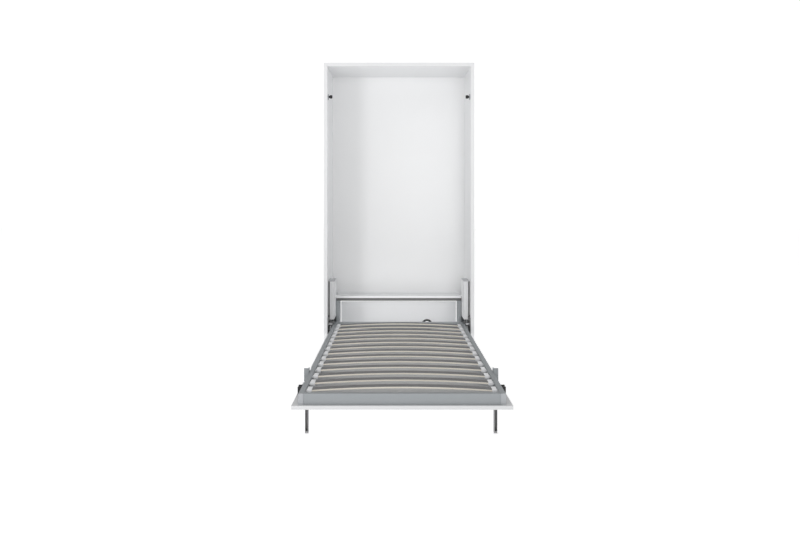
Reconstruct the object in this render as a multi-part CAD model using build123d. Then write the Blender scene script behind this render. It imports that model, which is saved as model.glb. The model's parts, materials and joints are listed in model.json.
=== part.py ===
from build123d import *
import math
import os

# Vertical fold-down wall bed, shown open: a tall white carcass, a steel bed frame with sprung slats that
# swings up into it on two pivots, a front panel under the frame, two folding legs and two gas springs.
# Millimetres. +Z is up, +Y points at the wall, the origin is the bottom centre of the open bed's box.

# ---------------------------------------------------------------- driving dimensions
frame_width = 932.0            # outside of the side rails
frame_length = 1900.0
frame_tail = 111.0             # frame behind the pivots
side_space = 34.0              # side rail to carcass side, for the pivots, legs and covers
head_gap = 66.0                # head end of the frame to the shelf
rail_height = 50.0
rail_thick = 25.0
rail_wall = 1.5
cap_thick = 2.0
cap_seam = 1.5                 # open line between an end cap and the cross rail
plug_length = 10.0

board = 25.0                   # carcass sides and top
back_thick = 8.0               # back panels
back_inset = 12.0              # from the wall to the back panels' rear faces
groove_depth = 8.0             # the upper back panel's groove in the sides and the top
edge_round = 1.0               # eased board edges
dowel_dia = 8.0
dowel_reach = 14.0
dowel_setbacks = (60.0, 160.0, 260.0, 360.0)

panel_thick = 18.0
panel_floor_gap = 245.0        # floor to the front panel's lower face, bed open
panel_overhang = 17.0          # front panel beyond the foot rail
panel_side_gap = 4.5           # front panel to carcass side
panel_top_gap = 4.0            # folded front panel to top board
panel_tail = 75.0              # front panel behind the pivots
panel_clip_leg = 20.0          # angles that hold the panel to the side rails
panel_clip_width = 24.0

pivot_setback = 70.0           # pivots behind the carcass front, and above the panel's lower face
pivot_stud_dia = 12.0
stud_flange_dia = 26.0
stud_flange_thick = 4.0
hub_dia = 21.0
running_clearance = 0.05       # radial

slat_count = 14
slat_width = 50.0
slat_thick = 8.0
slat_crown = 16.0
first_slat = 79.0              # foot end of the frame to the first slat's middle
last_slat = 144.0              # head end of the frame to the last slat's middle
holder_width = 22.0            # along the slat
holder_gap = 8.0               # rail to holder
holder_wall = 3.0
holder_above_rail = 4.0
slat_grip = 17.0               # slat inside its holder
peg_dia = 9.0
peg_pitch = 28.0

leg_from_foot = 410.0          # foot end of the frame to the leg pivots
leg_width = 16.0
leg_depth = 30.0
leg_wall = 2.0
foot_height = 14.0             # solid foot of the leg
leg_pivot_above_panel = 35.0
leg_pin_dia = 8.0
bracket_wall = 3.0
bracket_gap = 1.0              # leg to bracket cheek
bracket_margin = 5.0           # bracket round the leg
inner_cheek_rise = 16.0        # leg pivot to the middle of the inner cheek's round top
outer_cheek_rise = 5.0
web_rise = 20.0                # bracket's closed front side, above the middle of each cheek's round top
web_step = 24.0                # width of the web's taller part, beside the rail
pin_head_dia = 13.0
pin_head_thick = 1.5

catch_from_foot = 186.0        # foot end of the frame to the catch blocks' middle
catch_length = 40.0
catch_height = 37.0
catch_side_gap = 8.0           # catch block to carcass side
knob_dia = 24.0
flange_dia = 41.0
flange_thick = 6.0
latch_clearance = 0.5

plate_thick = 2.5              # steel plates on the carcass sides
plate_setback = 14.0           # carcass front to the plate
plate_below_pivot = 65.0
plate_above_pivot = 50.0
plate_behind_pivot = 60.0
plate_slope = 80.0             # rise of the plate's lower rear edge
plate_under_cap = 1.0          # wall plate's top to the cover cap
plate_shoulder = 30.0          # cover front to the plate's top corner
screw_head_dia = 9.0
screw_shank_dia = 4.0
screw_length = 15.0
screw_margin = 16.0            # plate edge to screw
screw_pitch = 100.0
pivot_plate_thick = 4.0
pivot_plate_front = 70.0       # in front of the pivot
pivot_plate_shoulder = 18.0
pivot_plate_rise = 20.0        # above the pivot
pivot_plate_lug = 14.0         # round the gas spring's lower end
pivot_plate_gap = 4.0          # above the front panel
cover_top_z = 615.0
cover_bottom_z = 346.0
cover_setback = 80.0
cover_depth = 190.0
cover_width = 31.0
cover_slit = 6.0               # cover to wall plate
cover_wall = 2.0
cover_round = 3.0
tab_from_end = 50.0            # cover tabs from its two ends
tab_depth = 14.0
tab_height = 16.0
cap_lip = 1.0
cap_height = 3.0
cap_side_gap = 1.0             # cap to the carcass side

spring_top_z = 600.0
spring_body_dia = 22.0
spring_body_length = 190.0
spring_rod_dia = 8.0
spring_lever = 100.0           # pivot to the gas spring's lower end
spring_lever_drop = 10.0
spring_stud_dia = 8.0
spring_neck = 14.0             # upper pin to the top of the body
spring_neck_dia = 10.0
spring_collar_dia = 14.0
spring_end_wall = 20.0         # solid top end of the body
eye_dia = 18.0
eye_thick = 9.0
eye_side_gap = 0.5
open_pivot_gap = 0.5           # gas spring's lower pin to the lever plate

shelf_top_z = 491.0
shelf_thick = 16.0
shelf_depth = 173.0
shelf_cover_gap = 2.0          # shelf end to gas spring cover
bar_size = 20.0
upright_width = 20.0
upright_depth = 150.0
upright_inset = 1.0            # upright in from the shelf end
sheet = 2.0
lower_back_top_z = 427.0
lower_back_bottom_z = 60.0
lower_back_gap = 3.0
floor_rail_height = 80.0
floor_rail_thick = 18.0
plinth_height = 212.0
plinth_thick = 18.0

grommet_x = 215.0
grommet_z = 249.0
grommet_flange_dia = 86.0
grommet_hole_dia = 64.0
grommet_bore = 56.0
grommet_lip = 3.0
grommet_sleeve_end = 2.0       # sleeve beyond the back of the panel

wall_bracket_x = 350.0
wall_bracket_leg = 40.0
wall_bracket_length = 60.0
wall_bracket_thick = 3.0
wall_hole_dia = 9.0
wall_hole_height = 24.0        # above the carcass

fit = 0.2                      # clearance round pieces that are pushed or slid together

# ---------------------------------------------------------------- values worked out from them
frame_half = frame_width / 2
inner_half = frame_half + side_space
rail_inner = frame_half - rail_thick
panel_half = inner_half - panel_side_gap
panel_top_z = panel_floor_gap + panel_thick
rail_top_z = panel_top_z + rail_height
pivot_z = panel_floor_gap + pivot_setback
reach = frame_length - pivot_setback - frame_tail + panel_overhang
top_under_z = pivot_z + pivot_setback + reach + panel_top_gap
carcass_height = top_under_z + board
carcass_depth = pivot_setback + frame_tail + head_gap + shelf_depth + back_thick + back_inset
front_y = (reach - carcass_depth) / 2          # the carcass front plane
wall_y = front_y + carcass_depth
panel_foot_y = front_y - reach
frame_foot_y = panel_foot_y + panel_overhang
frame_head_y = frame_foot_y + frame_length
pivot_y = front_y + pivot_setback
back_front_y = wall_y - back_inset - back_thick
slat_z = rail_top_z + holder_above_rail - holder_wall / 2 - slat_thick / 2 - 2
slat_end = rail_inner - holder_gap - holder_width + slat_grip
grip_rise = slat_crown * (1 - ((slat_end - slat_grip) / slat_end) ** 2)
leg_pivot_y = frame_foot_y + leg_from_foot
leg_pivot_z = panel_top_z + leg_pivot_above_panel
inner_cheek_z = leg_pivot_z + inner_cheek_rise
outer_cheek_z = leg_pivot_z + outer_cheek_rise
leg_inner = frame_half + bracket_wall + bracket_gap
leg_outer = leg_inner + leg_width
bracket_outer = leg_outer + bracket_gap + bracket_wall
catch_y = frame_foot_y + catch_from_foot
catch_outer = inner_half - catch_side_gap
knob_z = pivot_z + pivot_y - catch_y
knob_y = pivot_y + panel_top_z + catch_height - knob_dia / 2 - pivot_z
plate_x = inner_half - plate_thick
plate_front = front_y + plate_setback
plate_rear = front_y + cover_setback + cover_depth - cover_wall
plate_low = pivot_z - plate_below_pivot
plate_top = cover_top_z - plate_under_cap
cover_outer = plate_x - cover_slit
cover_inner = cover_outer - cover_width
cover_y = front_y + cover_setback
spring_x = cover_outer - cover_width / 2 + cover_wall / 2
spring_y = pivot_y + spring_lever
spring_low_z = pivot_z - spring_lever_drop
shelf_half = cover_inner - shelf_cover_gap
shelf_front_y = back_front_y - shelf_depth
upright_outer = shelf_half - upright_inset
upright_top_z = shelf_top_z - shelf_thick - bar_size

os.makedirs("parts", exist_ok=True)


# ---------------------------------------------------------------- helpers
def span(x0, x1, y0, y1, z0, z1):
    """A box between two corners."""
    return Pos((x0 + x1) / 2, (y0 + y1) / 2, (z0 + z1) / 2) * Box(x1 - x0, y1 - y0, z1 - z0)


def rod_x(x0, x1, y, z, dia):
    """A cylinder along X."""
    return Pos((x0 + x1) / 2, y, z) * Rot(0, 90, 0) * Cylinder(dia / 2, abs(x1 - x0))


def rod_y(y0, y1, x, z, dia):
    """A cylinder along Y."""
    return Pos(x, (y0 + y1) / 2, z) * Rot(90, 0, 0) * Cylinder(dia / 2, y1 - y0)


def rod_z(z0, z1, x, y, dia):
    """A cylinder along Z."""
    return Pos(x, y, (z0 + z1) / 2) * Cylinder(dia / 2, z1 - z0)


def plate_on_side(points, x0, x1):
    """A flat plate between two X planes with an outline of (y, z) points."""
    face = make_face(Polyline(*[(x0, y, z) for y, z in points], close=True))
    return extrude(face, amount=x1 - x0, dir=(1, 0, 0))


def eased(solid, radius=edge_round):
    """A board with its long edges rounded a little."""
    return fillet(solid.edges(), radius)


def other_side(solid):
    """The same piece on the other side of the bed."""
    return mirror(solid, about=Plane.YZ)


def save(shape, name):
    solids = shape.solids() if hasattr(shape, "solids") else shape
    group = solids[0] if len(solids) == 1 else Compound(children=list(solids))
    export_step(group, "parts/" + name + ".step")


def save_group(shapes, name):
    """Several loose solids in one node."""
    save(Compound(children=[solid for shape in shapes for solid in shape.solids()]), name)


def save_pair(solid, name):
    """A piece and its mirror image, as two nodes. The piece is drawn on the right."""
    save(solid, name + "_right")
    save(other_side(solid), name + "_left")


# ---------------------------------------------------------------- carcass
def plate_outline():
    """The steel plate on each carcass side, as (y, z) points."""
    return [
        (plate_front, plate_low),
        (pivot_y + plate_behind_pivot, plate_low),
        (plate_rear, plate_low + plate_slope),
        (plate_rear, plate_top),
        (cover_y + plate_shoulder, plate_top),
        (cover_y + plate_shoulder, pivot_z + plate_above_pivot + plate_shoulder),
        (cover_y, pivot_z + plate_above_pivot),
        (plate_front, pivot_z + plate_above_pivot),
    ]


def plate_screw_places():
    front, rear = plate_front + screw_margin, plate_rear - screw_margin
    low, top = plate_low + screw_margin, plate_top - screw_margin
    return [
        (front, low),
        (front, pivot_z + plate_above_pivot - screw_margin),
        (pivot_y + plate_behind_pivot - screw_margin, low),
        (rear, low + screw_pitch),
        (rear, top - screw_pitch),
        (rear - screw_pitch, top),
        (rear, top),
    ]


def dowel(setback, dia, reach_each_way):
    z = carcass_height - board / 2
    return rod_x(inner_half - reach_each_way, inner_half + reach_each_way, front_y + setback, z, dia)


def side():
    panel = eased(span(inner_half, inner_half + board, front_y, wall_y, 0, carcass_height))
    groove_y = back_front_y - fit
    groove = span(inner_half, inner_half + groove_depth, groove_y, groove_y + back_thick + 2 * fit,
                  lower_back_top_z, top_under_z + groove_depth)
    panel -= groove
    for y, z in plate_screw_places():
        panel -= rod_x(inner_half, inner_half + screw_length + fit, y, z, screw_shank_dia + 2 * fit)
    for setback in dowel_setbacks:
        panel -= dowel(setback, dowel_dia + 2 * fit, dowel_reach + fit)
    return panel


def top_board():
    panel = eased(span(-inner_half, inner_half, front_y, wall_y, top_under_z, carcass_height))
    groove_y = back_front_y - fit
    panel -= span(-inner_half, inner_half, groove_y, groove_y + back_thick + 2 * fit,
                  top_under_z, top_under_z + groove_depth)
    for setback in dowel_setbacks:
        hole = dowel(setback, dowel_dia + 2 * fit, dowel_reach + fit)
        panel -= hole
        panel -= other_side(hole)
    return panel


def carcass_dowels():
    right = [dowel(setback, dowel_dia, dowel_reach) for setback in dowel_setbacks]
    return right + [other_side(pin) for pin in right]


def back_panel_upper():
    half = inner_half + groove_depth - 0.5
    low = shelf_top_z - shelf_thick
    return span(-half, half, back_front_y, back_front_y + back_thick, low, top_under_z + groove_depth - 0.5)


def back_panel_lower():
    half = upright_outer - upright_width - lower_back_gap
    panel = span(-half, half, back_front_y, back_front_y + back_thick, lower_back_bottom_z, lower_back_top_z)
    return panel - rod_y(back_front_y - 1, back_front_y + back_thick + 1, grommet_x, grommet_z, grommet_hole_dia)


def cable_grommet():
    sleeve_end = back_front_y + back_thick + grommet_sleeve_end
    flange = rod_y(back_front_y - grommet_lip, back_front_y, grommet_x, grommet_z, grommet_flange_dia)
    sleeve = rod_y(back_front_y, sleeve_end, grommet_x, grommet_z, grommet_hole_dia - 2 * fit)
    flange = fillet(flange.edges().group_by(Axis.Y)[0], 2)
    return flange + sleeve - rod_y(back_front_y - 9, sleeve_end + 1, grommet_x, grommet_z, grommet_bore)


def plinth_board():
    return eased(span(-inner_half, inner_half, front_y, front_y + plinth_thick, 0, plinth_height))


def floor_rail():
    return span(-inner_half, inner_half, back_front_y - floor_rail_thick, back_front_y, 0, floor_rail_height)


def shelf_board():
    low = shelf_top_z - shelf_thick
    board_shape = span(-shelf_half, shelf_half, shelf_front_y, back_front_y, low, shelf_top_z)
    return fillet(board_shape.edges().filter_by(Axis.X), edge_round)


def tube(x0, x1, y0, y1, z0, z1, wall, along):
    """A rectangular tube with open ends."""
    inner = [x0 + wall, x1 - wall, y0 + wall, y1 - wall, z0 + wall, z1 - wall]
    first = "XYZ".index(along) * 2
    inner[first] -= wall + 1
    inner[first + 1] += wall + 1
    outer = span(x0, x1, y0, y1, z0, z1)
    outer = fillet(outer.edges().filter_by({"X": Axis.X, "Y": Axis.Y, "Z": Axis.Z}[along]), 2)
    return outer - span(*inner)


def shelf_crossbar():
    top = shelf_top_z - shelf_thick
    return tube(-shelf_half, shelf_half, shelf_front_y, shelf_front_y + bar_size, top - bar_size, top,
                rail_wall, "X")


def upright():
    x0, x1 = upright_outer - upright_width, upright_outer
    y0, y1 = shelf_front_y, shelf_front_y + upright_depth
    hollow = span(x0 + sheet, x1 + 1, y0 + sheet, y1 - sheet, -1, upright_top_z + 1)
    flange = span(x1 - sheet, inner_half, y1 - sheet, y1, 0, upright_top_z)
    return span(x0, x1, y0, y1, 0, upright_top_z) - hollow + flange


def wall_bracket():
    half = wall_bracket_length / 2
    x0, x1 = wall_bracket_x - half, wall_bracket_x + half
    foot = span(x0, x1, wall_y - wall_bracket_leg, wall_y, carcass_height, carcass_height + wall_bracket_thick)
    stem = span(x0, x1, wall_y - wall_bracket_thick, wall_y, carcass_height, carcass_height + wall_bracket_leg)
    hole_z = carcass_height + wall_hole_height
    return foot + stem - rod_y(wall_y - 10, wall_y + 5, wall_bracket_x, hole_z, wall_hole_dia)


# ---------------------------------------------------------------- pieces on the carcass sides
def wall_plate():
    plate = plate_on_side(plate_outline(), plate_x, inner_half)
    for y, z in plate_screw_places():
        plate -= rod_x(plate_x - 1, inner_half + 1, y, z, screw_head_dia + 2 * fit)
    return plate


def plate_screws():
    screws = []
    for y, z in plate_screw_places():
        head = rod_x(plate_x, inner_half, y, z, screw_head_dia)
        shank = rod_x(inner_half, inner_half + screw_length, y, z, screw_shank_dia)
        screws.append(head + shank)
    return screws + [other_side(screw) for screw in screws]


def pivot_stud():
    flange = rod_x(plate_x - stud_flange_thick, plate_x, pivot_y, pivot_z, stud_flange_dia)
    shaft = rod_x(frame_half + 1, plate_x - stud_flange_thick, pivot_y, pivot_z, pivot_stud_dia)
    return flange + shaft


def spring_stud():
    collar = rod_x(spring_x + eye_thick / 2 + eye_side_gap, plate_x, spring_y, spring_top_z, spring_collar_dia)
    shaft = rod_x(spring_x - eye_thick / 2 - 2, plate_x, spring_y, spring_top_z, spring_stud_dia)
    return collar + shaft


def gas_cover():
    y1 = cover_y + cover_depth
    shell = span(cover_inner, cover_outer, cover_y, y1, cover_bottom_z, cover_top_z)
    shell = fillet(shell.edges().filter_by(Axis.Z).group_by(Axis.X)[0], cover_round)
    shell -= span(cover_inner + cover_wall, cover_outer + 1, cover_y + cover_wall, y1 - cover_wall,
                  cover_bottom_z - 1, cover_top_z + 1)
    tab_y1 = y1 - cover_wall
    for z in (cover_bottom_z + tab_from_end, cover_top_z - tab_from_end):
        shell += span(cover_inner + cover_wall, plate_x, tab_y1 - tab_depth, tab_y1,
                      z - tab_height / 2, z + tab_height / 2)
    return shell


def cover_cap():
    lid = span(cover_inner - cap_lip, inner_half - cap_side_gap, cover_y - cap_lip, cover_y + cover_depth + cap_lip,
               cover_top_z, cover_top_z + cap_height)
    return fillet(lid.edges().group_by(Axis.Z)[-1], 1)


def latch_flange():
    disc = rod_x(inner_half - flange_thick, inner_half, knob_y, knob_z, flange_dia)
    return fillet(disc.edges().group_by(Axis.X)[0], 1.5)


def latch_knob():
    knob = rod_x(frame_half + 3, inner_half - flange_thick, knob_y, knob_z, knob_dia)
    return fillet(knob.edges().group_by(Axis.X)[0], 2)


# ---------------------------------------------------------------- gas springs
def gas_cylinder():
    top = spring_top_z - spring_neck
    low = top - spring_body_length
    body = fillet(rod_z(low, top, spring_x, spring_y, spring_body_dia).edges(), 2)
    neck = rod_z(top - 2, spring_top_z - spring_stud_dia / 2, spring_x, spring_y, spring_neck_dia)
    eye = rod_x(spring_x - eye_thick / 2, spring_x + eye_thick / 2, spring_y, spring_top_z, eye_dia)
    solid = body + neck + eye
    solid -= rod_x(spring_x - 20, spring_x + 20, spring_y, spring_top_z,
                   spring_stud_dia + 2 * running_clearance)
    return solid - rod_z(low - 1, top - spring_end_wall, spring_x, spring_y,
                         spring_rod_dia + 2 * running_clearance)


def gas_rod():
    top = spring_top_z - spring_neck - spring_end_wall - 4
    rod = rod_z(spring_low_z + 6, top, spring_x, spring_y, spring_rod_dia)
    eye = rod_x(spring_x - eye_thick / 2, spring_x + eye_thick / 2, spring_y, spring_low_z, eye_dia)
    pin_start = frame_half + pivot_plate_thick + open_pivot_gap
    pin = rod_x(pin_start, spring_x + eye_thick / 2 + 3, spring_y, spring_low_z, spring_stud_dia)
    return rod + eye + pin


# ---------------------------------------------------------------- bed frame
def slat_ys():
    pitch = (frame_length - first_slat - last_slat) / (slat_count - 1)
    return [frame_foot_y + first_slat + i * pitch for i in range(slat_count)]


def peg_z():
    return rail_top_z - 8.5


def side_rail():
    rail = tube(rail_inner, frame_half, frame_foot_y + cap_thick, frame_head_y - cap_thick,
                panel_top_z, rail_top_z, rail_wall, "Y")
    holes = [rod_x(rail_inner - 1, rail_inner + rail_wall + 1, y + side * peg_pitch / 2, peg_z(), peg_dia + 2 * fit)
             for y in slat_ys() for side in (-1, 1)]
    return rail - holes


def cross_rail(y0):
    return tube(-rail_inner, rail_inner, y0, y0 + rail_thick, panel_top_z, rail_top_z, rail_wall, "X")


def end_cap(y0, plug_y0):
    face = span(rail_inner + cap_seam, frame_half, y0, y0 + cap_thick, panel_top_z, rail_top_z)
    face = fillet(face.edges().filter_by(Axis.Y), 2)
    inset = rail_wall + fit
    plug = span(rail_inner + inset, frame_half - inset, plug_y0, plug_y0 + plug_length,
                panel_top_z + inset, rail_top_z - inset)
    return face + plug


def rail_end_caps():
    foot = end_cap(frame_foot_y, frame_foot_y + cap_thick)
    head = end_cap(frame_head_y - cap_thick, frame_head_y - cap_thick - plug_length)
    return [foot, head, other_side(foot), other_side(head)]


def front_panel():
    tail_y = pivot_y + panel_tail
    panel = span(-panel_half, panel_half, panel_foot_y, tail_y, panel_floor_gap, panel_top_z)
    panel = fillet(panel.edges(), edge_round)
    slot_inner = frame_half + 2.5
    slot_y0 = leg_pivot_y - leg_depth / 2 - 3
    slot_y1 = leg_pivot_y + leg_pivot_z + 4          # the folded leg is as long as its pivot is high
    slot = span(slot_inner, panel_half + 1, slot_y0, slot_y1, panel_floor_gap - 1, panel_top_z + 1)
    slot = fillet(slot.edges().filter_by(Axis.Z).group_by(Axis.X)[0], 6)
    return panel - slot - other_side(slot)


def panel_brackets():
    """Steel angles in the corner of panel and rail, halfway between every fourth pair of slats."""
    pieces = []
    leg = panel_clip_leg
    ys = slat_ys()
    for near, far in zip(ys[0::4], ys[1::4]):
        y0 = (near + far - panel_clip_width) / 2
        y1 = y0 + panel_clip_width
        flat = span(rail_inner - leg, rail_inner, y0, y1, panel_top_z, panel_top_z + sheet)
        upstand = span(rail_inner - sheet, rail_inner, y0, y1, panel_top_z, panel_top_z + leg)
        pieces.append(flat + upstand)
    return pieces + [other_side(piece) for piece in pieces]


def pivot_plate():
    x0, x1 = frame_half, frame_half + pivot_plate_thick
    low = panel_top_z + pivot_plate_gap
    rear = frame_head_y - cap_thick
    points = [
        (pivot_y - pivot_plate_front, low),
        (rear, low),
        (rear, spring_low_z + pivot_plate_lug),
        (pivot_y + pivot_plate_rise * 1.5, pivot_z + pivot_plate_rise),
        (pivot_y - pivot_plate_shoulder, pivot_z + pivot_plate_rise),
        (pivot_y - pivot_plate_front, low + rail_height / 2),
    ]
    plate = plate_on_side(points, x0, x1)
    return plate - rod_x(x0 - 1, x1 + 1, pivot_y, pivot_z, hub_dia)


def pivot_bush():
    bush = rod_x(frame_half + 0.5, plate_x - 5.5, pivot_y, pivot_z, hub_dia)
    return bush - rod_x(frame_half, plate_x, pivot_y, pivot_z, pivot_stud_dia + 2 * running_clearance)


def catch_block():
    top = panel_top_z + catch_height
    block = span(frame_half + 1, catch_outer, catch_y - catch_length / 2, catch_y + catch_length / 2,
                 panel_top_z, top)
    block = fillet(block.edges().filter_by(Axis.Z), 2)
    slot_dia = knob_dia + 2 * latch_clearance
    slot_z = top - knob_dia / 2
    jaw = span(frame_half, inner_half, catch_y - slot_dia / 2, catch_y + slot_dia / 2, slot_z, top + 1)
    return block - jaw - rod_x(frame_half, inner_half, catch_y, slot_z, slot_dia)


def slat_holder(y):
    x1 = rail_inner - holder_gap
    x0 = x1 - holder_width
    half_y = slat_width / 2 + holder_wall
    pocket_low = slat_z - slat_thick / 2 - fit
    pocket_top = slat_z + slat_thick / 2 + grip_rise + fit
    lips = holder_wall - 0.5
    body = span(x0, x1, y - half_y, y + half_y, pocket_low - lips, pocket_top + lips)
    body = fillet(body.edges().filter_by(Axis.X), lips)
    pocket = span(x0 - 1, x0 + slat_grip + 2 * fit, y - slat_width / 2 - fit, y + slat_width / 2 + fit,
                  pocket_low, pocket_top)
    body -= pocket
    for side in (-1, 1):
        body += rod_x(x1 - 1, rail_inner + rail_wall + 4, y + side * peg_pitch / 2, peg_z(), peg_dia)
    return body


def slat(y):
    """A bowed strip of glued veneer: its middle stands slat_crown above its ends."""
    half = slat_thick / 2
    low = [(-slat_end, slat_z - half), (0, slat_z + slat_crown - half), (slat_end, slat_z - half)]
    high = [(-slat_end, slat_z + half), (0, slat_z + slat_crown + half), (slat_end, slat_z + half)]
    y0 = y - slat_width / 2
    under = ThreePointArc(*[(x, y0, z) for x, z in low])
    over = ThreePointArc(*[(x, y0, z) for x, z in high])
    ends = [Line(under @ 0, over @ 0), Line(under @ 1, over @ 1)]
    return extrude(make_face([under, over] + ends), amount=slat_width, dir=(0, 1, 0))


# ---------------------------------------------------------------- legs
def rounded_plate(x0, x1, y, half, z0, z1):
    """An upright plate whose top is a half circle about (y, z1)."""
    return span(x0, x1, y - half, y + half, z0, z1) + rod_x(x0, x1, y, z1, 2 * half)


def leg_bracket():
    half = leg_depth / 2 + bracket_margin
    low = panel_top_z + bracket_margin
    inner = rounded_plate(frame_half, frame_half + bracket_wall, leg_pivot_y, half, low, inner_cheek_z)
    outer = rounded_plate(bracket_outer - bracket_wall, bracket_outer, leg_pivot_y, half, low, outer_cheek_z)
    web = span(frame_half, bracket_outer, leg_pivot_y - half, leg_pivot_y - half + bracket_wall,
               low, outer_cheek_z + web_rise)
    web += span(frame_half, frame_half + web_step, leg_pivot_y - half, leg_pivot_y - half + bracket_wall,
                low, inner_cheek_z + web_rise)
    hole = rod_x(frame_half - 1, bracket_outer + 1, leg_pivot_y, leg_pivot_z, leg_pin_dia + 2 * fit)
    return inner + outer + web - hole


def leg_pin():
    pin = rod_x(frame_half + eye_side_gap, bracket_outer + eye_side_gap, leg_pivot_y, leg_pivot_z, leg_pin_dia)
    head = rod_x(bracket_outer, bracket_outer + pin_head_thick, leg_pivot_y, leg_pivot_z, pin_head_dia)
    return pin + head


def leg():
    half = leg_depth / 2
    channel = span(leg_inner, leg_outer, leg_pivot_y - half, leg_pivot_y + half, half, leg_pivot_z)
    channel += rod_x(leg_inner, leg_outer, leg_pivot_y, leg_pivot_z, leg_depth)
    channel += rod_x(leg_inner, leg_outer, leg_pivot_y, half, leg_depth)
    hollow = span(leg_inner + leg_wall, leg_outer - leg_wall, leg_pivot_y - half - 1,
                  leg_pivot_y + half - leg_wall, foot_height, leg_pivot_z + half + 1)
    channel -= hollow
    return channel - rod_x(leg_inner - 1, leg_outer + 1, leg_pivot_y, leg_pivot_z,
                           leg_pin_dia + 2 * running_clearance)


# ---------------------------------------------------------------- writing the nodes
def write_carcass():
    save_pair(side(), "side")
    save(top_board(), "top_board")
    save_group(carcass_dowels(), "carcass_dowels")
    save(back_panel_upper(), "back_panel_upper")
    save(back_panel_lower(), "back_panel_lower")
    save(cable_grommet(), "cable_grommet")
    save(plinth_board(), "plinth_board")
    save(floor_rail(), "floor_rail")
    save(shelf_board(), "shelf_board")
    save(shelf_crossbar(), "shelf_crossbar")
    save_pair(upright(), "upright")
    save_group([wall_bracket(), other_side(wall_bracket())], "wall_brackets")


def write_side_fittings():
    save_pair(wall_plate(), "wall_plate")
    save_group(plate_screws(), "plate_screws")
    save_group([pivot_stud(), other_side(pivot_stud())], "pivot_studs")
    save_group([spring_stud(), other_side(spring_stud())], "spring_studs")
    save_pair(gas_cover(), "gas_cover")
    save_group([cover_cap(), other_side(cover_cap())], "cover_caps")
    save_group([latch_flange(), other_side(latch_flange())], "latch_flanges")
    save_group([latch_knob(), other_side(latch_knob())], "latch_knobs")
    save_pair(gas_cylinder(), "gas_cylinder")
    save_pair(gas_rod(), "gas_rod")


def write_bed():
    save_pair(side_rail(), "side_rail")
    save(cross_rail(frame_foot_y), "foot_rail")
    save(cross_rail(frame_head_y - rail_thick), "head_rail")
    save_group(rail_end_caps(), "rail_end_caps")
    save(front_panel(), "front_panel")
    save_group(panel_brackets(), "panel_brackets")
    save_pair(pivot_plate(), "pivot_plate")
    save_group([pivot_bush(), other_side(pivot_bush())], "pivot_bushes")
    save_group([catch_block(), other_side(catch_block())], "catch_blocks")
    save_pair(leg_bracket(), "leg_bracket")
    save_group([leg_pin(), other_side(leg_pin())], "leg_pins")
    save_pair(leg(), "leg")
    holders = [slat_holder(y) for y in slat_ys()]
    save_group(holders, "slat_holders_right")
    save_group([other_side(holder) for holder in holders], "slat_holders_left")
    for number, y in enumerate(slat_ys(), start=1):
        save(slat(y), "slat_%02d" % number)


write_carcass()
write_side_fittings()
write_bed()
print("front plane y", front_y, "pivot", pivot_y, pivot_z, "reach", reach)
print("spring pivots", spring_x, spring_y, spring_top_z, spring_low_z)
print("leg pivot", leg_pivot_y, leg_pivot_z, "latch", knob_y, knob_z, "catch", catch_y)
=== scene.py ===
# %% [markdown]
# # A fold-down wall bed
# The bed is a white board carcass that stands against a wall, and a steel frame that swings down
# out of it on two pivots. The engineering model already holds every part at its real size. This
# lesson gives the parts their finishes, remakes the slats, their holders, the latch knobs, the
# screws and the catch blocks in finer shape, and sets up the light and the camera.

# %% Load the frame
import json
import math

import bmesh
import bpy
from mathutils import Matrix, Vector


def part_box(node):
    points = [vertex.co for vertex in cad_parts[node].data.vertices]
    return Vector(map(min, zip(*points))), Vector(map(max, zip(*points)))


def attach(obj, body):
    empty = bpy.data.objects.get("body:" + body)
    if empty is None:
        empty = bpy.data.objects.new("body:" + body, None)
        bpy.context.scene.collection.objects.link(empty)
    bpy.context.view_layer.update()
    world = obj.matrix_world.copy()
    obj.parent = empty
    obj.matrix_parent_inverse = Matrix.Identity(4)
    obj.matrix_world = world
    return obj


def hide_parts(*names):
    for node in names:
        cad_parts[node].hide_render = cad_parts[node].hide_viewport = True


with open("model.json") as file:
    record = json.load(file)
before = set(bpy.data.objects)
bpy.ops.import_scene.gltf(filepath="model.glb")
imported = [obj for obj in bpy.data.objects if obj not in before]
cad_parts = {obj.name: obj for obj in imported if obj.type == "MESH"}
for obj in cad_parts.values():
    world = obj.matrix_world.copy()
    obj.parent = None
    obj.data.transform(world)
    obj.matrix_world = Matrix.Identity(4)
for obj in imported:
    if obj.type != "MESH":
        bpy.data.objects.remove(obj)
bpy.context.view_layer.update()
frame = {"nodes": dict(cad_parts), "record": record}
nodes = frame["nodes"]
MM = 0.001
print("frame loaded,", len(nodes), "nodes")


def add_object(name, data):
    made = bpy.data.objects.new(name, data)
    bpy.context.scene.collection.objects.link(made)
    return made


# %% [markdown]
# ## Places that everything is worked out from
# The carcass front, the rails and the slats say where they are, and each later piece asks them.
# That way a change of size in the model moves the looks with it. Only small details, such as a
# rounding or a peg, have sizes of their own here.

# %% Read the places
front_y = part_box("side_left")[0].y
side_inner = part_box("side_right")[0].x
rail_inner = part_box("side_rail_right")[0].x
first_low, first_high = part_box("slat_01")
last_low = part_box("slat_14")[0]
holder_low, holder_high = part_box("slat_holders_right")
cover_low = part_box("gas_cover_right")[0]
slat_nodes = sorted(name for name in nodes if name.startswith("slat_") and name[5:].isdigit())

slat_pitch = (last_low.y - first_low.y) / (len(slat_nodes) - 1)
slat_width = first_high.y - first_low.y
slat_length = first_high.x - first_low.x
slat_first_y = (first_low.y + first_high.y) / 2
SLAT_THICK = 8 * MM
slat_crown = first_high.z - first_low.z - SLAT_THICK
print("slats: %d, %.0f mm apart, crown %.0f mm"
      % (len(slat_nodes), slat_pitch / MM, slat_crown / MM))

# %% [markdown]
# ## Camera
# The view is from chest height in front of the bed's foot, with a level camera, so the upright
# boards stay upright. A level camera that still shows the floor is made with lens shift, as in a
# picture of a building.

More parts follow.
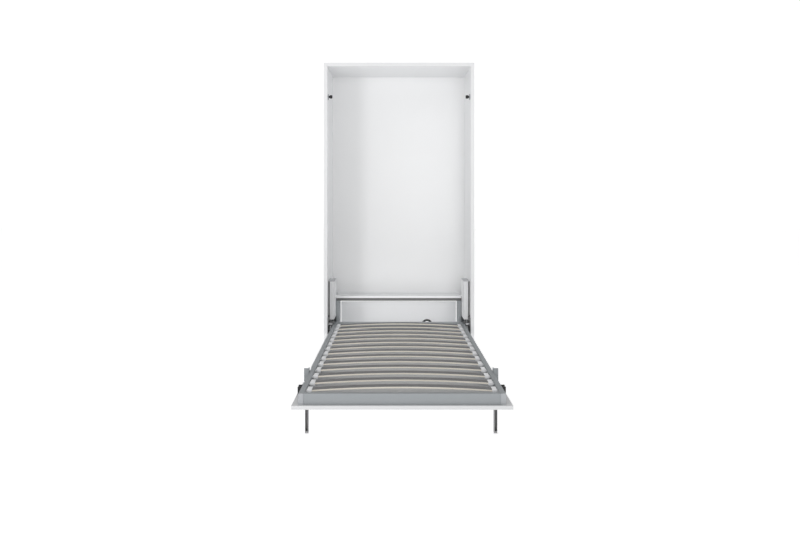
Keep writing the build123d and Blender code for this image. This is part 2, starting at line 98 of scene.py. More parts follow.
# %% Camera
SENSOR = 36                  # millimetres, as is the lens
LENS = 31.0
LENS_SHIFT = (0.0081, -0.0769)
CAMERA_BACK = 4.804          # metres in front of the carcass
CAMERA_HEIGHT = 1.1576
CAMERA_X = -0.0387

camera_data = bpy.data.cameras.new("camera")
camera = add_object("camera", camera_data)
camera.location = (CAMERA_X, front_y - CAMERA_BACK, CAMERA_HEIGHT)
camera.rotation_euler = (math.radians(90), 0, 0)
camera_data.sensor_width = SENSOR
camera_data.lens = LENS
camera_data.shift_x, camera_data.shift_y = LENS_SHIFT
bpy.context.scene.camera = camera

# %% [markdown]
# ## Nodes in one line
# The world, the finishes and the shapes are all node trees. This helper makes a node, fills in its
# inputs and joins its links in one line, so each tree reads as a short recipe.

# %% Node helper
def tree_node(tree, kind, inputs=None, **attributes):
    """A new node. An input is a value, or another node's output, which is then linked to it."""
    made = tree.nodes.new(kind)
    for key, value in attributes.items():
        setattr(made, key, value)
    for key, value in (inputs or {}).items():
        if isinstance(value, bpy.types.NodeSocket):
            tree.links.new(value, made.inputs[key])
        else:
            made.inputs[key].default_value = value
    return made


# %% [markdown]
# ## Light and floor
# The bed stands in a white room: one big soft light in front, a smaller softbox on the left, and
# bright walls that fill the shadows. The softbox lets the left board throw a soft shadow on the
# back panel. Two small glowing cards at the mouth of the bay carry light onto the back and under
# the shelf, where the room's light is blocked.

# %% Floor, world and lamps
BACKDROP = 1.05              # what the camera sees behind everything: plain white
FLOOR_HALF = 30              # metres from the middle to the floor's edge


def white_world(wall, room, overhead):
    """A white room: how bright the wall behind the bed is, the rest of the room, and straight up."""
    world = bpy.data.worlds.new("white room")
    world.use_nodes = True
    tree = world.node_tree
    direction = tree_node(tree, "ShaderNodeTexCoord").outputs["Generated"]
    share = tree_node(tree, "ShaderNodeSeparateXYZ", {0: direction}).outputs

    def blend(axis, start, end, low, high):
        """Goes from low to high as the direction's share along an axis goes from start to end."""
        inputs = {"Value": share[axis], "From Min": start, "From Max": end,
                  "To Min": low, "To Max": high}
        return tree_node(tree, "ShaderNodeMapRange", inputs).outputs["Result"]

    level = blend("Z", 0.3, 0.9, blend("Y", 0.0, 0.5, room, wall), overhead)
    seen = tree_node(tree, "ShaderNodeLightPath").outputs["Is Camera Ray"]
    backdrop = tree_node(tree, "ShaderNodeMix", {0: seen, 2: level, 3: BACKDROP}).outputs[0]
    background = tree.nodes["Background"]
    background.inputs["Color"].default_value = (1, 1, 1, 1)
    tree.links.new(backdrop, background.inputs["Strength"])
    bpy.context.scene.world = world


def area_lamp(name, place, target, size, power):
    data = bpy.data.lights.new(name, "AREA")
    data.shape = "RECTANGLE"
    data.size, data.size_y = size
    data.energy = power
    lamp = add_object(name, data)
    lamp.location = place
    lamp.rotation_euler = (Vector(target) - Vector(place)).to_track_quat("-Z", "Y").to_euler()


white_world(wall=0.7, room=0.43, overhead=0.6)
area_lamp("front light", place=(1.7, front_y - 9.5, 1.8), target=(0, front_y, 0.9),
          size=(4.0, 3.0), power=84)
area_lamp("left softbox", place=(-3.1, front_y - 4.6, 1.5), target=(0, front_y + 0.2, 1.1),
          size=(1.0, 1.6), power=44)
area_lamp("bay card", place=(0.12, front_y - 0.02, 1.1), target=(0, front_y + 1, 1.1),
          size=(0.8, 1.6), power=0.27)
area_lamp("low card", place=(0, front_y + 0.1, 0.39), target=(0, front_y + 1, 0.39),
          size=(0.82, 0.12), power=0.34)

floor_mesh = bpy.data.meshes.new("floor")
corners = ((-1, -1), (1, -1), (1, 1), (-1, 1))
floor_corners = [(a * FLOOR_HALF, b * FLOOR_HALF, 0) for a, b in corners]
floor_mesh.from_pydata(floor_corners, [], [(0, 1, 2, 3)])
floor = add_object("floor", floor_mesh)
bpy.context.scene.view_settings.view_transform = "Standard"

# %% [markdown]
# ## Helpers for materials
# A material here is a Principled shader with two or three texture nodes in front of it. Nothing
# real has one flat colour, so mottle lets a socket wander a little between two values, and grain
# presses a fine skin into the surface.

# %% Material helpers
NOISE_ROUGHNESS = 0.55
BROAD, NARROW = 0.2, 0.15    # spreads: how much of the noise a finish uses


def new_material(name, **settings):
    mat = bpy.data.materials.new(name)
    mat.use_nodes = True
    shader = mat.node_tree.nodes["Principled BSDF"]
    for key, value in settings.items():
        shader.inputs[key.replace("_", " ")].default_value = value
    return mat, shader


def node(mat, kind, inputs=None, **attributes):
    return tree_node(mat.node_tree, kind, inputs, **attributes)


def object_place(mat, scale=(1, 1, 1)):
    """Object coordinates in metres, stretched by scale."""
    coordinates = node(mat, "ShaderNodeTexCoord").outputs["Object"]
    return node(mat, "ShaderNodeMapping", {"Vector": coordinates, "Scale": scale}).outputs["Vector"]


def noise(mat, place, scale, detail):
    inputs = {"Vector": place, "Scale": scale, "Detail": detail, "Roughness": NOISE_ROUGHNESS}
    return node(mat, "ShaderNodeTexNoise", inputs).outputs["Fac"]


def ramp(mat, factor, *stops):
    """A colour ramp. Each stop is a position and a colour, grey if it is one number."""
    made = node(mat, "ShaderNodeValToRGB", {"Fac": factor})
    elements = made.color_ramp.elements
    while len(elements) < len(stops):
        elements.new(0.5)
    for element, (position, colour) in zip(elements, stops):
        element.position = position
        element.color = (*colour, 1) if isinstance(colour, tuple) else (colour, colour, colour, 1)
    return made.outputs["Color"]


def drive(mat, shader, socket, output):
    mat.node_tree.links.new(output, shader.inputs[socket])


def mottle(mat, shader, cloud, spread, low, high, socket="Base Color"):
    """Lets a socket go from low to high while the cloud goes from 0.5 - spread to 0.5 + spread."""
    drive(mat, shader, socket, ramp(mat, cloud, (0.5 - spread, low), (0.5 + spread, high)))


def grain(mat, shader, height, strength, distance):
    inputs = {"Height": height, "Strength": strength, "Distance": distance}
    drive(mat, shader, "Normal", node(mat, "ShaderNodeBump", inputs).outputs["Normal"])


def shade(tone, share):
    """A tone made darker or lighter, and never brighter than white."""
    return tuple(min(1, channel * share) for channel in tone)


# %% [markdown]
# ## White board
# The carcass and the front panel are chipboard with a melamine skin. Real melamine isn't a mirror:
# it is pressed against a fine plate, so reflections are soft and slightly wavy. A very fine bump
# does that, and a slow change of tone keeps the large faces from looking like flat paint.

# %% White boards
def board_finish(name, roughness, tone):
    mat, shader = new_material(name, Roughness=roughness)
    place = object_place(mat)
    mottle(mat, shader, noise(mat, place, 2.2, 2.0), BROAD, shade(tone, 0.985), tone)
    grain(mat, shader, noise(mat, place, 700, 2.0), 0.05, 0.4 * MM)
    handled = noise(mat, place, 9, 4.0)
    mottle(mat, shader, handled, NARROW, roughness * 0.88, roughness * 1.12, "Roughness")
    return mat


white_board = board_finish("white melamine", 0.32, (0.885, 0.89, 0.9))
# The back panel is smoother than the other boards. Its lighter tone is painted light that makes up
# for the dimmer light at the back of the bay.
glossy_back_painted_light = board_finish("white back panel", 0.2, (0.93, 0.935, 0.94))

# %% [markdown]
# The front panel and the covers are dressed apart: the panel is the carcass's melamine in a darker
# tone, which is painted shade that holds back the floor's glow on its edge, and the covers are
# white-grey lacquered steel.

# %% Panel and covers
# Painted shade: the front panel's melamine is darker than the carcass's, to hold back the light the
# glowing floor throws on its edge.
panel_board_painted_shade = board_finish("front panel melamine", 0.32, (0.71, 0.715, 0.725))
cover_lacquer = board_finish("cover lacquer", 0.4, (0.88, 0.885, 0.895))

# %% [markdown]
# The floor is a white studio sweep. Such a sweep is lit on its own, from lamps under its skin, and
# a little light of its own stands for them. The bed's shadow on it stays faint that way.

# %% Floor paint
FLOOR_TONE = 0.93
FLOOR_GLOW = 0.46

floor_paint, _ = new_material(
    "white sweep", Roughness=0.75, Base_Color=(FLOOR_TONE, FLOOR_TONE, FLOOR_TONE, 1),
    Emission_Color=(1, 1, 1, 1), Emission_Strength=FLOOR_GLOW)

# %% [markdown]
# ## Powder coat
# Powder coat is melted plastic dust. It leaves a gentle orange-peel skin, and a silver one has fine
# metal flakes in it, so it is only partly metallic.

# %% Powder-coated steel
def powder_coat(name, tone, metallic, roughness):
    mat, shader = new_material(name, Metallic=metallic, Roughness=roughness)
    place = object_place(mat)
    flakes = noise(mat, place, 2600, 1.0)
    mottle(mat, shader, flakes, NARROW, shade(tone, 0.9), shade(tone, 1.08))
    peel = noise(mat, place, 650, 2.0)
    grain(mat, shader, peel, 0.18, 0.5 * MM)
    return mat


silver_steel = powder_coat("silver powder coat", (0.33, 0.35, 0.365), 0.1, 0.5)
# The leg steel also dresses the wall plates, where its lighter tone is painted light.
leg_steel_and_painted_light_plates = powder_coat("leg steel", (0.3, 0.3, 0.303), 0.15, 0.45)
dark_steel = powder_coat("dark powder coat", (0.13, 0.13, 0.132), 0.2, 0.45)
black_steel = powder_coat("black enamel", (0.02, 0.02, 0.021), 0.0, 0.28)

# %% [markdown]
# ## Moulded plastic, zinc and chrome
# Moulded parts have a faint spark-eroded grain. Zinc plate is bright and a little cloudy, and the
# gas springs' rods are ground and chromed, so they are the only clean mirrors on the bed.

# %% Plastics and metals
def moulded(name, tone, roughness, spark):
    mat, shader = new_material(name, Roughness=roughness)
    place = object_place(mat)
    mottle(mat, shader, noise(mat, place, 40, 2.0), NARROW, shade(tone, 0.95), tone)
    grain(mat, shader, noise(mat, place, 1500, 2.0), spark, 0.3 * MM)
    return mat


def plated(name, tone, roughness, cloudiness):
    mat, shader = new_material(name, Metallic=1.0, Roughness=roughness)
    cloud = noise(mat, object_place(mat), 120, 3.0)
    mottle(mat, shader, cloud, NARROW, shade(tone, 1 - cloudiness), tone)
    mottle(mat, shader, cloud, BROAD, roughness * 0.8, roughness * 1.25, "Roughness")
    return mat


white_plastic = moulded("white moulded plastic", (0.93, 0.935, 0.95), 0.35, 0.1)
black_plastic = moulded("black moulded plastic", (0.018, 0.018, 0.019), 0.45, 0.25)
grey_plastic = moulded("grey moulded plastic", (0.42, 0.435, 0.455), 0.42, 0.2)
# The covers' caps are a lighter grey than the other grey plastic. The lift is painted light against
# the shade on the caps' sides.
cap_plastic_painted_light = moulded("light grey moulded plastic", (0.56, 0.57, 0.585), 0.42, 0.2)
zinc = plated("zinc plate", (0.62, 0.63, 0.64), 0.34, 0.2)
chrome = plated("ground chrome", (0.8, 0.8, 0.81), 0.09, 0.03)

# %% [markdown]
# ## Slat wood
# A sprung slat is a stack of birch veneers glued in a bow. Its faces have a dark grey foil pressed
# on, and its edges are left bare, so each slat shows a pale striped line. The slat's mesh carries a
# number called ply that goes from -0.5 under the slat to 0.5 on top. The finish turns that number
# into veneers, whatever way the slat bends. Veneers are laid crosswise, so every other stripe has
# its grain end on.

# %% Slat finish
PLIES = 7
FOIL_FROM = 0.47             # the foil is what lies beyond this share of ply
FOIL_DARK = (0.12, 0.119, 0.119)
FOIL_LIGHT = (0.17, 0.169, 0.169)

slat_wood, slat_shader = new_material("foiled birch slat", Roughness=0.5)


def ply_math(operation, *values):
    inputs = dict(enumerate(values))
    return node(slat_wood, "ShaderNodeMath", inputs, operation=operation).outputs[0]


def birch_veneer(stretch, scale, detail, low, high):
    figure = noise(slat_wood, object_place(slat_wood, stretch), scale, detail)
    return ramp(slat_wood, figure, (0.5 - BROAD, low), (0.5 + BROAD, high))


def pick(share, low, high):
    """One colour where share is 0 and the other where it is 1."""
    inputs = {0: share, 6: low, 7: high}
    return node(slat_wood, "ShaderNodeMix", inputs, data_type="RGBA").outputs[2]


ply = node(slat_wood, "ShaderNodeAttribute", attribute_name="ply").outputs["Fac"]
is_foil = ply_math("GREATER_THAN", ply_math("ABSOLUTE", ply), FOIL_FROM)
wave = ply_math("SINE", ply_math("MULTIPLY", ply, PLIES * math.pi))
stripe = ply_math("MULTIPLY_ADD", wave, 0.5, 0.5)
along_grain = birch_veneer((6, 60, 60), 9, 4.0, (0.97, 0.91, 0.8), (1.0, 0.97, 0.9))
end_grain = birch_veneer((120, 60, 60), 6, 3.0, (0.93, 0.85, 0.73), (0.98, 0.92, 0.82))
foil_grain = noise(slat_wood, object_place(slat_wood, (2, 40, 40)), 30, 4.0)
foil = ramp(slat_wood, foil_grain, (0.5 - BROAD, FOIL_DARK), (0.5 + BROAD, FOIL_LIGHT))
bare_edge = pick(stripe, end_grain, along_grain)
drive(slat_wood, slat_shader, "Base Color", pick(is_foil, bare_edge, foil))
grain(slat_wood, slat_shader, foil_grain, 0.12, 0.4 * MM)

# %% Plain wood for the hidden dowels
beech, beech_shader = new_material("turned beech", Roughness=0.6)
beech_grain = noise(beech, object_place(beech, (8, 90, 90)), 12, 4.0)
mottle(beech, beech_shader, beech_grain, BROAD, (0.5, 0.34, 0.2), (0.68, 0.5, 0.33))

# %% [markdown]
# ## Give each model part its finish
# The record names a material slot for every part, so one table from slot to finish dresses the
# whole frame. A few parts differ in tone from the others in their slot, and are dressed again: the
# big back panel, smoother than the other boards and lighter as painted light, the front panel,
# darker as painted shade, the covers, their caps, lighter as painted light, the legs, and the wall
# plates, lighter as painted light.

# %% Dress the frame
finish_of = {
    "white_board": white_board,
    "beech": beech,
    "black_plastic": black_plastic,
    "dark_steel": dark_steel,
    "silver_steel": silver_steel,
    "silver_plastic": grey_plastic,
    "zinc": zinc,
    "white_plastic": white_plastic,
    "black_steel": black_steel,
    "chrome": chrome,
    "slat_wood": slat_wood,
}


def dress(obj, mat):
    obj.data.materials.clear()
    obj.data.materials.append(mat)


for part in frame["record"]["subparts"]:
    dress(nodes[part["node"]], finish_of[part["material_slot"]])
# Painted light on the back panel and the caps, and painted shade on the front panel: these tones are
# set against how light falls on those parts.
dress(nodes["back_panel_upper"], glossy_back_painted_light)
dress(nodes["front_panel"], panel_board_painted_shade)
dress(nodes["cover_caps"], cap_plastic_painted_light)
for side_name in ("left", "right"):
    dress(nodes["gas_cover_" + side_name], cover_lacquer)
    dress(nodes["leg_" + side_name], leg_steel_and_painted_light_plates)
    # Painted light: the wall plates take the lighter leg steel in place of their dark slot finish,
    # to lighten the shaded slit beside the covers.
    dress(nodes["wall_plate_" + side_name], leg_steel_and_painted_light_plates)
dress(floor, floor_paint)
print("dressed", len(nodes), "parts")

# %% [markdown]
# ## Helpers for shapes
# Many small parts are a stack of rounded outlines, wide at one end and narrow at the other. A list
# of rings says it all: where each ring is, how large it is and how round its corners are. Skinning
# the rings gives a closed shape.

# %% Rings and skins
def circle(radius, count):
    """Points of a circle, as (a, b) pairs, anticlockwise."""
    turns = [math.tau * i / count for i in range(count)]
    return [(radius * math.cos(t), radius * math.sin(t)) for t in turns]


def rounded_ring(half_a, half_b, radius, steps=4):
    """Points of a rounded rectangle, as (a, b) pairs, anticlockwise."""
    radius = min(radius, half_a, half_b)
    points = []
    for turn, (sa, sb) in enumerate([(1, 1), (-1, 1), (-1, -1), (1, -1)]):
        for step in range(steps + 1):
            angle = math.pi / 2 * (turn + step / steps)
            points.append((sa * (half_a - radius) + radius * math.cos(angle),
                           sb * (half_b - radius) + radius * math.sin(angle)))
    return points


def skin_rings(mesh, rings):
    """Joins rings of equal length into a closed skin. Each ring is a list of Vectors."""
    loops = [[mesh.verts.new(point) for point in ring] for ring in rings]
    for low, high in zip(loops, loops[1:]):
        for i in range(len(low)):
            j = (i + 1) % len(low)
            mesh.faces.new((low[i], low[j], high[j], high[i]))
    mesh.faces.new(list(reversed(loops[0])))
    mesh.faces.new(loops[-1])


def piece_from(mesh, name, smooth_angle=35):
    """A Blender object from a bmesh, with outward faces and smooth shading up to an angle."""
    bmesh.ops.remove_doubles(mesh, verts=mesh.verts, dist=1e-7)
    bmesh.ops.recalc_face_normals(mesh, faces=mesh.faces)
    data = bpy.data.meshes.new(name)
    mesh.to_mesh(data)
    mesh.free()
    for polygon in data.polygons:
        polygon.use_smooth = True
    data.set_sharp_from_angle(angle=math.radians(smooth_angle))
    return add_object(name, data)


# %% [markdown]
# ## A tree that repeats a shape in a row
# Slats and holders sit at an even pitch along the frame. A Geometry Nodes tree takes one shape, a
# start, a step and a count. It ends in Realize Instances, so the row becomes one plain mesh that
# can be kept.

# %% Row tree
def new_tree(name, **kinds):
    """A Geometry Nodes tree and its inputs. Each input is given as its name and its kind."""
    tree = bpy.data.node_groups.new(name, "GeometryNodeTree")
    for label, kind in kinds.items():
        tree.interface.new_socket(name=label, in_out="INPUT", socket_type="NodeSocket" + kind)
    return tree, tree.nodes.new("NodeGroupInput").outputs


def finish_tree(tree, geometry, material):
    """Every tree ends the same way: real mesh, one material, group output."""
    tree.interface.new_socket(name="Geometry", in_out="OUTPUT", socket_type="NodeSocketGeometry")
    real = tree_node(tree, "GeometryNodeRealizeInstances", {0: geometry}).outputs[0]
    inputs = {"Geometry": real, "Material": material}
    dressed = tree_node(tree, "GeometryNodeSetMaterial", inputs).outputs[0]
    tree_node(tree, "NodeGroupOutput", {0: dressed})


def geometry_of(tree, given_object):
    return tree_node(tree, "GeometryNodeObjectInfo", {"Object": given_object}).outputs["Geometry"]


def copies_on(tree, points, shape):
    inputs = {"Points": points, "Instance": shape}
    return tree_node(tree, "GeometryNodeInstanceOnPoints", inputs).outputs[0]


def points_in_line(tree, count, start, step):
    inputs = {"Count": count, "Start Location": start, "Offset": step}
    return tree_node(tree, "GeometryNodeMeshLine", inputs).outputs[0]


def row_tree():
    tree, given = new_tree("row of shapes", Shape="Object", Count="Int", Start="Vector",
                           Step="Vector", Material="Material")
    line = points_in_line(tree, given["Count"], given["Start"], given["Step"])
    row = copies_on(tree, line, geometry_of(tree, given["Shape"]))
    finish_tree(tree, row, given["Material"])
    return tree


def run_tree(tree, name, **values):
    """Runs a tree on an empty mesh and keeps the result as a plain mesh object."""
    maker = add_object(name + " maker", bpy.data.meshes.new(name + " maker"))
    modifier = maker.modifiers.new("tree", "NODES")
    modifier.node_group = tree
    for item in tree.interface.items_tree:
        if item.in_out == "INPUT" and item.name in values:
            modifier[item.identifier] = values[item.name]
    graph = bpy.context.evaluated_depsgraph_get()
    data = bpy.data.meshes.new_from_object(maker.evaluated_get(graph), depsgraph=graph)
    bpy.data.objects.remove(maker)
    data.name = name
    print(name, "has", len(data.polygons), "faces")
    return add_object(name, data)


ROW = row_tree()

# %% [markdown]
# ## The sprung slats
# One slat is a small rounded outline swept along a shallow bow. The tree draws both curves, writes
# the ply number on the outline before the sweep, and then lays as many slats in a row as the model
# has.

# %% Slat tree
SLAT_EDGE = 1.1 * MM         # how far the slat's long edges are rounded
BOW_POINTS = 40


def slat_tree():
    tree, given = new_tree("sprung slats", Length="Float", Width="Float", Thickness="Float",
                           Crown="Float", Pitch="Float", Count="Int", Start="Vector",
                           Material="Material")

    def at(**place):
        return tree_node(tree, "ShaderNodeCombineXYZ", place).outputs[0]

    def calculate(operation, first, second):
        inputs = {0: first, 1: second}
        return tree_node(tree, "ShaderNodeMath", inputs, operation=operation).outputs[0]

    half = calculate("MULTIPLY", given["Length"], 0.5)
    left = calculate("MULTIPLY", half, -1.0)
    arc = {"Start": at(X=left), "Middle": at(Z=given["Crown"]), "End": at(X=half),
           "Resolution": BOW_POINTS}
    bow = tree_node(tree, "GeometryNodeCurveArc", arc, mode="POINTS")

    sizes = {"Width": given["Width"], "Height": given["Thickness"]}
    outline = tree_node(tree, "GeometryNodeCurvePrimitiveQuadrilateral", sizes).outputs[0]
    rounding = {"Curve": outline, "Radius": SLAT_EDGE, "Count": 3}
    outline = tree_node(tree, "GeometryNodeFilletCurve", rounding, mode="POLY").outputs[0]
    place = tree_node(tree, "GeometryNodeInputPosition").outputs[0]
    across = tree_node(tree, "ShaderNodeSeparateXYZ", {0: place}).outputs["Y"]
    ply_number = calculate("DIVIDE", across, given["Thickness"])
    written = {"Geometry": outline, "Name": "ply", "Value": ply_number}
    outline = tree_node(tree, "GeometryNodeStoreNamedAttribute", written).outputs[0]

    swept = {"Curve": bow.outputs["Curve"], "Profile Curve": outline, "Fill Caps": True}
    slat = tree_node(tree, "GeometryNodeCurveToMesh", swept).outputs[0]
    line = points_in_line(tree, given["Count"], given["Start"], at(Y=given["Pitch"]))
    finish_tree(tree, copies_on(tree, line, slat), given["Material"])
    return tree


slats = run_tree(slat_tree(), "slats", Length=slat_length, Width=slat_width, Thickness=SLAT_THICK,
                 Crown=slat_crown, Pitch=slat_pitch, Count=len(slat_nodes),
                 Start=Vector((0, slat_first_y, first_low.z + SLAT_THICK / 2)), Material=slat_wood)
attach(slats, "bed")
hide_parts(*slat_nodes)

# %% [markdown]
# ## Slat holders
# Each slat end sits in a moulded pocket. The pocket's mouth faces the middle of the bed, its back
# has two pegs that push into the rail, and its edges are well rounded so that nothing catches the
# mattress cover.

# %% One holder
PEG_PITCH = 28 * MM
PEG_RADIUS = 4.5 * MM
PEG_BELOW_TOP = 12.5 * MM    # the pegs' middle, under the holder's top
PEG_REACH = 4 * MM           # how far a peg goes into the rail before its tip
HOLDER_WIDTH = 22 * MM
HOLDER_WALL = 3 * MM
HOLDER_GAP = 8 * MM          # holder to rail
HOLDER_LIP = 1.2 * MM        # the rounding of its outer edges
POCKET_ROOF = 2.5 * MM
POCKET_PLAY = 0.2 * MM
POCKET_ROUND = 1.2 * MM
SLAT_GRIP = 17 * MM


def make_holder():
    """A right-hand holder, about its slat's middle line. X is measured from the bed's middle."""
    mesh = bmesh.new()
    outer_x = rail_inner - HOLDER_GAP
    mouth_x = outer_x - HOLDER_WIDTH
    middle_z = (holder_low.z + holder_high.z) / 2
    half_y = slat_width / 2 + HOLDER_WALL
    half_z = (holder_high.z - holder_low.z) / 2
    lip = HOLDER_LIP
    nip = lip * 0.3
    pocket_y = slat_width / 2 + POCKET_PLAY
    pocket_z = half_z - POCKET_ROOF
    stack = [
        (outer_x, half_y - lip, half_z - lip, 2 * MM),
        (outer_x - nip, half_y - nip, half_z - nip, 2.6 * MM),
        (outer_x - lip, half_y, half_z, 3 * MM),
        (mouth_x + lip, half_y, half_z, 3 * MM),
        (mouth_x + nip, half_y - nip, half_z - nip, 2.8 * MM),
        (mouth_x, half_y - lip, half_z - lip, 2.4 * MM),
        (mouth_x, pocket_y + lip * 0.4, pocket_z + lip * 0.4, 1.4 * MM),
        (mouth_x + lip * 0.6, pocket_y, pocket_z, POCKET_ROUND),
        (mouth_x + SLAT_GRIP + 0.4 * MM, pocket_y, pocket_z, POCKET_ROUND),
    ]
    skin_rings(mesh, [[Vector((x, a, middle_z + b)) for a, b in rounded_ring(*reach_and_radius)]
                      for x, *reach_and_radius in stack])
    peg_end = outer_x + HOLDER_GAP + PEG_REACH
    peg = [(outer_x - 0.2 * MM, PEG_RADIUS + 1 * MM), (outer_x + 1 * MM, PEG_RADIUS),
           (peg_end, PEG_RADIUS), (peg_end + 1.4 * MM, PEG_RADIUS - 1 * MM)]
    peg_z = holder_high.z - PEG_BELOW_TOP
    for side in (-1, 1):
        peg_y = side * PEG_PITCH / 2
        skin_rings(mesh, [[Vector((x, peg_y + a, peg_z + b)) for a, b in circle(radius, 16)]
                          for x, radius in peg])
    return piece_from(mesh, "holder pattern")


holder_pattern = make_holder()


def holder_row(side):
    """The row of holders on one side. The left one is the right one seen in a mirror."""
    row = run_tree(ROW, "slat_holders_" + side + "_row", Shape=holder_pattern, Count=len(slat_nodes),
                   Start=Vector((0, slat_first_y, 0)), Step=Vector((0, slat_pitch, 0)),
                   Material=white_plastic)
    if side == "left":
        for vertex in row.data.vertices:
            vertex.co.x *= -1
        row.data.flip_normals()
    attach(row, "bed")
    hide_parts("slat_holders_" + side)


for side_name in ("left", "right"):
    holder_row(side_name)
bpy.data.objects.remove(holder_pattern)

# %% [markdown]
# ## Turned parts
# Knobs, screws and stops are made on a lathe, so each is one profile turned about a line. The
# profile is a list of distances along the line and radii there.

# %% Lathe
def turned(mesh, centre, profile, axis=(1, 0, 0), segments=32):
    """Turns a profile of (distance, radius) pairs about an axis through a centre."""
    axis = Vector(axis)
    side = axis.orthogonal().normalized()
    up = axis.cross(side)
    rings = []
    for distance, radius in profile:
        middle = Vector(centre) + axis * distance
        rings.append([middle + side * a + up * b for a, b in circle(radius, segments)])
    skin_rings(mesh, rings)


def rounded_end(end, radius, edge, steps=5):
    """The last stretch of a profile, with its rim rounded over."""
    angles = [math.pi / 2 * step / steps for step in range(steps + 1)]
    return [(end - edge * (1 - math.sin(angle)), radius - edge * (1 - math.cos(angle)))
            for angle in angles]


# %% [markdown]
# ## Latch knobs
# When the bed is folded up, each catch block closes round one of these. The knob has a waist by the
# flange, a rounded head and a shallow dish in its end, so it reads as a moulded part and not as a
# peg.

# %% Knobs
SMOOTH_TURNED = 50           # degrees: turned parts are shaded smooth up to this angle
KNOB_LENGTH = 25 * MM
KNOB_WAIST = 0.62            # share of the knob's radius
KNOB_RIM = 4 * MM
DISH_RADIUS = 5 * MM
DISH_DEPTH = 1.5 * MM

knob_low, knob_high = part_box("latch_knobs")
knob_y = (knob_low.y + knob_high.y) / 2
knob_z = (knob_low.z + knob_high.z) / 2
knob_radius = (knob_high.z - knob_low.z) / 2


def turned_pair(mesh, x, y, z, profile):
    """The same turned part on both side boards, each pointing to the middle of the bed."""
    for side in (-1, 1):
        turned(mesh, (side * x, y, z), profile, axis=(-side, 0, 0))


def make_knobs():
    mesh = bmesh.new()
    waist = KNOB_WAIST * knob_radius
    profile = [(0, waist), (5 * MM, waist), (6.5 * MM, 0.8 * knob_radius), (8 * MM, knob_radius)]
    profile += rounded_end(KNOB_LENGTH, knob_radius, KNOB_RIM)
    profile += [(KNOB_LENGTH, DISH_RADIUS), (KNOB_LENGTH - DISH_DEPTH, DISH_RADIUS - 1.5 * MM)]
    turned_pair(mesh, knob_high.x, knob_y, knob_z, profile)
    made = piece_from(mesh, "latch_knob_heads", SMOOTH_TURNED)
    dress(made, black_plastic)
    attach(made, "carcass")
    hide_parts("latch_knobs")


make_knobs()

# %% [markdown]
# ## Screw heads
# The wall plates are held by countersunk screws. A tree puts one turned screw, with a round recess
# in its head, on every screw place, and the places are read from the model's own screws.

# %% Screw heads
SHANK_RADIUS = 2 * MM
RECESS_RADIUS = 2.2 * MM
RECESS_DEPTH = 1.4 * MM


def loose_boxes(name):
    """The two corners of the box round each loose solid in a node."""
    mesh = bmesh.new()
    mesh.from_mesh(nodes[name].data)
    bmesh.ops.remove_doubles(mesh, verts=mesh.verts, dist=1e-6)
    seen, boxes = set(), []
    for start in mesh.verts:
        if start in seen:
            continue
        island, stack = [], [start]
        seen.add(start)
        while stack:
            vertex = stack.pop()
            island.append(vertex.co.copy())
            for edge in vertex.link_edges:
                other = edge.other_vert(vertex)
                if other not in seen:
                    seen.add(other)
                    stack.append(other)
        boxes.append(tuple(Vector(end(co[i] for co in island) for i in range(3))
                           for end in (min, max)))
    mesh.free()
    return boxes


def scatter_tree():
    tree, given = new_tree("shape on points", Points="Object", Shape="Object", Material="Material")
    points = geometry_of(tree, given["Points"])
    shape = geometry_of(tree, given["Shape"])
    finish_tree(tree, copies_on(tree, points, shape), given["Material"])
    return tree


SCATTER = scatter_tree()


def point_cloud(name, places):
    data = bpy.data.meshes.new(name)
    data.from_pydata([tuple(place) for place in places], [], [])
    return add_object(name, data)


def sink(mesh, face, border, vec):
    """Leaves a border round a flat face and moves the rest of the face."""
    bmesh.ops.inset_individual(mesh, faces=[face], thickness=border)
    bmesh.ops.translate(mesh, verts=face.verts, vec=vec)


def screw_pattern(length, head):
    """A screw along +X whose head's face is at the origin, for the right side."""
    mesh = bmesh.new()
    rim = [(0.0, 0.86 * head), (0.25 * MM, head), (0.9 * MM, head), (2.4 * MM, SHANK_RADIUS)]
    tip = [(length - 2 * MM, SHANK_RADIUS), (length, 0.4 * SHANK_RADIUS)]
    turned(mesh, (0, 0, 0), [(0.0, RECESS_RADIUS)] + rim + tip, segments=24)
    bmesh.ops.remove_doubles(mesh, verts=mesh.verts, dist=1e-7)
    recess = min(mesh.faces, key=lambda face: face.calc_center_median().x)
    sink(mesh, recess, 0.1 * MM, (RECESS_DEPTH, 0, 0))
    return piece_from(mesh, "screw pattern")


def add_mirrored(mesh):
    """Adds everything again on the left side."""
    copy = bmesh.ops.duplicate(mesh, geom=mesh.verts[:] + mesh.edges[:] + mesh.faces[:])["geom"]
    points = [item for item in copy if isinstance(item, bmesh.types.BMVert)]
    faces = [item for item in copy if isinstance(item, bmesh.types.BMFace)]
    bmesh.ops.scale(mesh, vec=(-1, 1, 1), verts=points)
    bmesh.ops.reverse_faces(mesh, faces=faces)


def make_screws():
    solids = loose_boxes("plate_screws")
    right = [Vector((low.x, (low.y + high.y) / 2, (low.z + high.z) / 2))
             for low, high in solids if low.x > 0]
    length = max(high.x - low.x for low, high in solids)
    head = max(high.z - low.z for low, high in solids) / 2
    pattern = screw_pattern(length, head)
    cloud = point_cloud("screw places", right)
    made = run_tree(SCATTER, "plate_screw_heads", Points=cloud, Shape=pattern, Material=zinc)
    mesh = bmesh.new()
    mesh.from_mesh(made.data)
    add_mirrored(mesh)
    mesh.to_mesh(made.data)
    mesh.free()
    for helper in (pattern, cloud):
        bpy.data.objects.remove(helper)
    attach(made, "carcass")
    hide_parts("plate_screws")


make_screws()

# %% [markdown]
# ## Stops by the pivots
# A black rubber stop stands on each side board, in front of the cover and a little above its lower
# end.

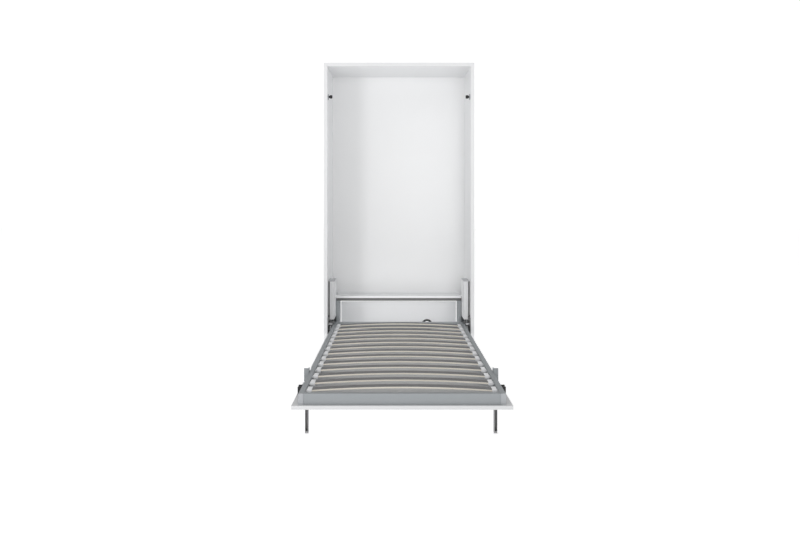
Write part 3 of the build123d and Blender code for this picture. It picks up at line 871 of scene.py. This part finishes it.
# %% Rubber stops
STOP_ABOVE_COVER_END = 24 * MM
STOP_BEFORE_COVER = 9 * MM
STOP_LENGTH = 9 * MM
STOP_RADIUS = 6.5 * MM
STOP_FOOT_RADIUS = 8 * MM


def make_stops():
    mesh = bmesh.new()
    profile = [(0, STOP_FOOT_RADIUS), (3 * MM, STOP_FOOT_RADIUS), (5 * MM, STOP_RADIUS)]
    profile += rounded_end(STOP_LENGTH, STOP_RADIUS, 2 * MM)
    profile += [(STOP_LENGTH, 2 * MM), (STOP_LENGTH - 0.6 * MM, 1.2 * MM)]
    stop_y = cover_low.y - STOP_BEFORE_COVER
    stop_z = cover_low.z + STOP_ABOVE_COVER_END
    turned_pair(mesh, side_inner, stop_y, stop_z, profile)
    made = piece_from(mesh, "rubber_stops", SMOOTH_TURNED)
    dress(made, black_plastic)
    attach(made, "carcass")


make_stops()

# %% [markdown]
# ## Catch blocks
# A catch block is a moulded fork. Its jaw is a round seat that is open at the top with a flared
# mouth, so that the knob finds its way in, and its outer face is sunk a little inside its border,
# which saves material. The outline is drawn once and given its width, and a bevel softens every
# edge.

# %% Fork outline
SEAT_RADIUS = knob_radius + 0.5 * MM
MOUTH_FLARE = 2.5 * MM
MOUTH_DEPTH = 4 * MM
POCKET_BORDER = 2.2 * MM
POCKET_DEPTH = 1.6 * MM
FORK_EDGE = 0.5 * MM
SHARP_FORK = 40              # degrees: an edge sharper than this is bevelled

catch_low, catch_high = max(loose_boxes("catch_blocks"), key=lambda box: box[1].x)


def fork_outline(steps=16):
    """The fork seen from the side, as (y, z) points."""
    y0, y1, z0, z1 = catch_low.y, catch_high.y, catch_low.z, catch_high.z
    middle = (y0 + y1) / 2
    seat_z = z1 - knob_radius
    points = [(y0, z0), (y1, z0), (y1, z1), (middle + SEAT_RADIUS + MOUTH_FLARE, z1),
              (middle + SEAT_RADIUS, z1 - MOUTH_DEPTH)]
    for step in range(steps + 1):
        angle = -math.pi * step / steps
        points.append((middle + SEAT_RADIUS * math.cos(angle),
                       seat_z + SEAT_RADIUS * math.sin(angle)))
    points += [(middle - SEAT_RADIUS, z1 - MOUTH_DEPTH),
               (middle - SEAT_RADIUS - MOUTH_FLARE, z1), (y0, z1)]
    return points


# %% Fork pieces
def make_catches():
    mesh = bmesh.new()
    face = mesh.faces.new([mesh.verts.new((catch_low.x, y, z)) for y, z in fork_outline()])
    grown = bmesh.ops.extrude_face_region(mesh, geom=[face])["geom"]
    moved = [item for item in grown if isinstance(item, bmesh.types.BMVert)]
    bmesh.ops.translate(mesh, verts=moved, vec=(catch_high.x - catch_low.x, 0, 0))
    outer = next(item for item in grown if isinstance(item, bmesh.types.BMFace))
    sink(mesh, outer, POCKET_BORDER, (-POCKET_DEPTH, 0, 0))
    bmesh.ops.recalc_face_normals(mesh, faces=mesh.faces)
    sharp = [edge for edge in mesh.edges
             if edge.is_manifold and edge.calc_face_angle() > math.radians(SHARP_FORK)]
    bmesh.ops.bevel(mesh, geom=sharp, offset=FORK_EDGE, segments=2, affect="EDGES",
                    clamp_overlap=True)
    add_mirrored(mesh)
    made = piece_from(mesh, "catch_forks", SHARP_FORK)
    dress(made, black_plastic)
    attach(made, "bed")
    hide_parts("catch_blocks")


make_catches()
